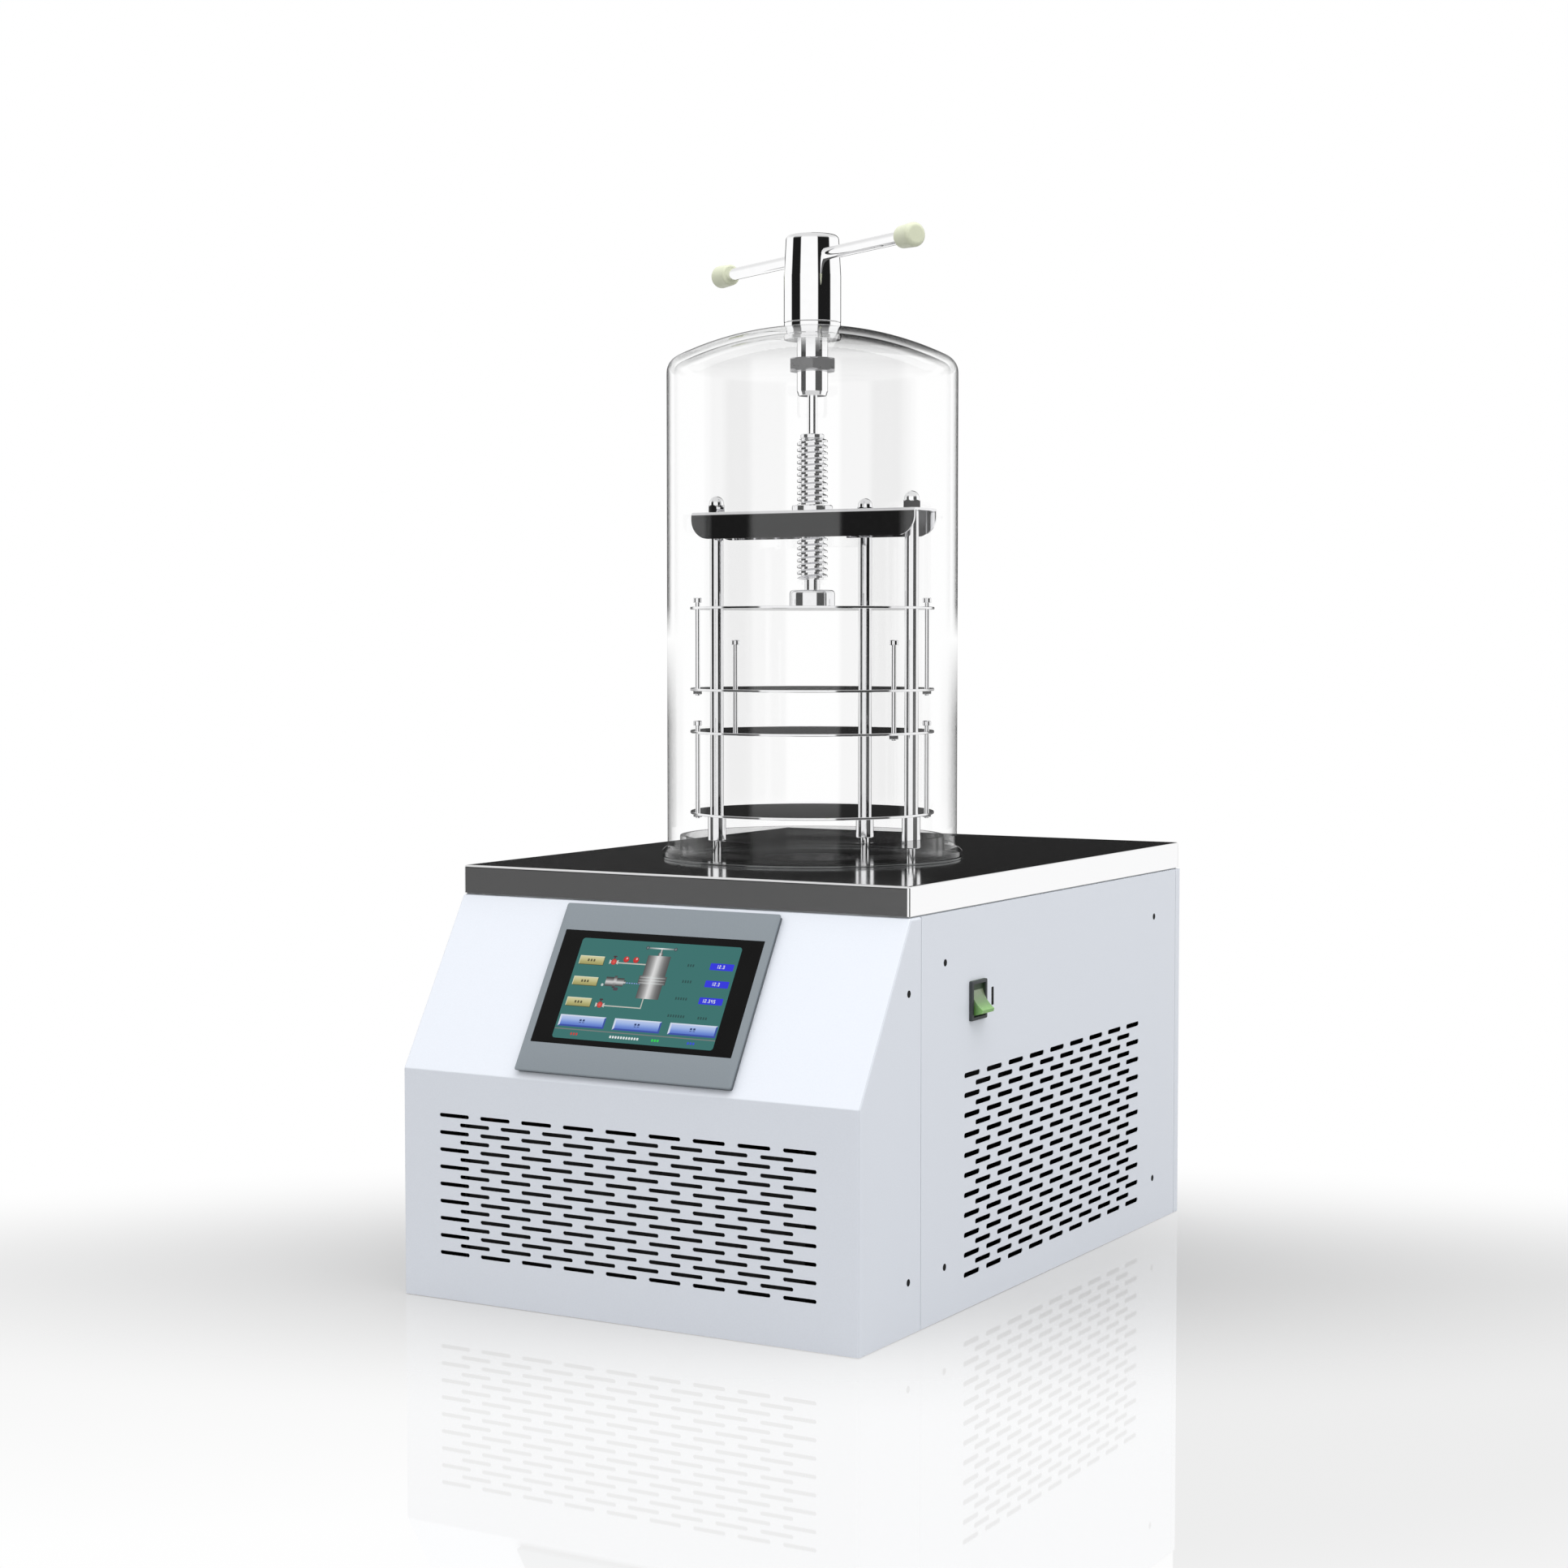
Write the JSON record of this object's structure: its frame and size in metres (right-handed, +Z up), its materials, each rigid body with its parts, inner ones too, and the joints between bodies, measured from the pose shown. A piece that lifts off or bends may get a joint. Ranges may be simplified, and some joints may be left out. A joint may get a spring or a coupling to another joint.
{
  "type": "freeze dryer",
  "caption": "Bench-top freeze dryer: vented sheet-metal cabinet with a touch panel, clear drying jar and a screw-pressed shelf rack.",
  "frame": {"origin": "centre of the cabinet's rectangular footprint, on the surface that it stands on", "axes": "+X to the right of the cabinet seen from its front, +Y to its back, +Z up along the drying jar"},
  "size_m": [0.4097, 0.6477, 0.8344],
  "materials": {
    "painted_front": "satin",
    "zinc_sheet": "satin",
    "polished_plate": "polished",
    "screw_black": "satin",
    "bezel_grey": "satin",
    "panel_glass": "gloss",
    "case_black": "matte",
    "board_green": "satin",
    "switch_black": "satin",
    "rocker_green": "gloss",
    "clear_acrylic": "clear",
    "rubber_black": "matte",
    "silicone_clear": "satin",
    "chrome_parts": "polished",
    "cap_cream": "gloss",
    "rack_steel": "polished",
    "screw_steel": "machined",
    "trap_steel": "satin",
    "evaporator_metal": "satin",
    "foam": "matte",
    "compressor_black": "gloss",
    "fin_aluminium": "satin",
    "fan_plastic": "satin",
    "copper": "satin",
    "valve_brass": "satin",
    "lever_red": "satin",
    "socket_black": "satin"
  },
  "bodies": {
    "cabinet": {"base_pan": "zinc_sheet", "front_cover": "painted_front", "side_panel_left": "painted_front", "side_panel_right": "painted_front", "rear_panel": "painted_front", "corner_posts": "zinc_sheet", "panel_screws": "screw_black", "top_plate": "polished_plate", "top_frame": "zinc_sheet", "hmi_bezel": "bezel_grey", "hmi_glass": "panel_glass", "hmi_case": "case_black", "control_board": "board_green", "switch_frame": "switch_black", "bell_jar": "clear_acrylic", "jar_gasket": "silicone_clear", "inner_collar": "clear_acrylic", "gland_bush": "chrome_parts", "gland_seal": "rubber_black", "gland_washer": "chrome_parts", "gland_nut": "screw_steel", "crosshead": "rack_steel", "post_left": "rack_steel", "post_right": "rack_steel", "post_rear": "rack_steel", "acorn_nuts": "chrome_parts", "screw_nut": "screw_steel", "trap_vessel": "trap_steel", "evaporator_sleeve": "evaporator_metal", "trap_insulation": "foam", "vacuum_pipe": "trap_steel", "drain_pipe": "trap_steel", "drain_valve": "valve_brass", "compressor": "compressor_black", "compressor_grommets": "rubber_black", "condenser": "fin_aluminium", "fan_shroud": "zinc_sheet", "fan_motor": "compressor_black", "discharge_line": "copper", "suction_line": "copper", "liquid_line": "copper", "power_inlet": "socket_black", "pump_outlet": "socket_black", "shelf_4": "rack_steel", "lower_hangers": "rack_steel"},
    "handle": {"drive_rod": "chrome_parts", "handle_knob": "chrome_parts", "cross_bar": "chrome_parts", "bar_caps": "cap_cream"},
    "press_plate": {"press_foot": "screw_steel", "shelf_1": "rack_steel"},
    "screw": {"press_screw": "screw_steel"},
    "second_shelf": {"shelf_2": "rack_steel", "upper_hangers": "rack_steel"},
    "third_shelf": {"shelf_3": "rack_steel", "middle_hangers": "rack_steel"},
    "rocker": {"switch_rocker": "rocker_green"},
    "fan": {"fan_rotor": "fan_plastic"},
    "drain_lever": {"drain_lever": "lever_red"}
  },
  "joints": [
    {"name": "handle_turn", "type": "hinge", "parent": "cabinet", "child": "handle", "pos_m": [0, -0.00875, 0.8], "axis": [0, 0, -1], "range_deg": [0, 1728]},
    {"name": "press_drop", "type": "slide", "parent": "cabinet", "child": "press_plate", "axis": [0, 0, -1], "range_m": [0, 0.024]},
    {"name": "screw_turn", "type": "hinge", "parent": "press_plate", "child": "screw", "pos_m": [0, -0.00875, 0.6], "axis": [0, 0, -1], "range_deg": [0, 1728]},
    {"name": "second_shelf_drop", "type": "slide", "parent": "cabinet", "child": "second_shelf", "axis": [0, 0, -1], "range_m": [0, 0.016]},
    {"name": "third_shelf_drop", "type": "slide", "parent": "cabinet", "child": "third_shelf", "axis": [0, 0, -1], "range_m": [0, 0.008]},
    {"name": "rocker_press", "type": "hinge", "parent": "cabinet", "child": "rocker", "pos_m": [0.2, -0.1095, 0.2335], "axis": [0, 1, 0], "range_deg": [0, 28]},
    {"name": "fan_spin", "type": "hinge", "parent": "cabinet", "child": "fan", "pos_m": [0, -0.23, 0.0715], "axis": [0, 1, 0], "continuous": true},
    {"name": "drain_turn", "type": "hinge", "parent": "cabinet", "child": "drain_lever", "pos_m": [0, 0.318, 0.1], "axis": [0, 0, 1], "range_deg": [0, 90]}
  ],
  "couplings": [
    {"joint": "press_drop", "follows": "handle_turn", "m_per_rad": 0.00079577},
    {"joint": "screw_turn", "follows": "handle_turn", "ratio": 1},
    {"joint": "second_shelf_drop", "follows": "handle_turn", "m_per_rad": 0.00053052},
    {"joint": "third_shelf_drop", "follows": "handle_turn", "m_per_rad": 0.00026526}
  ]
}
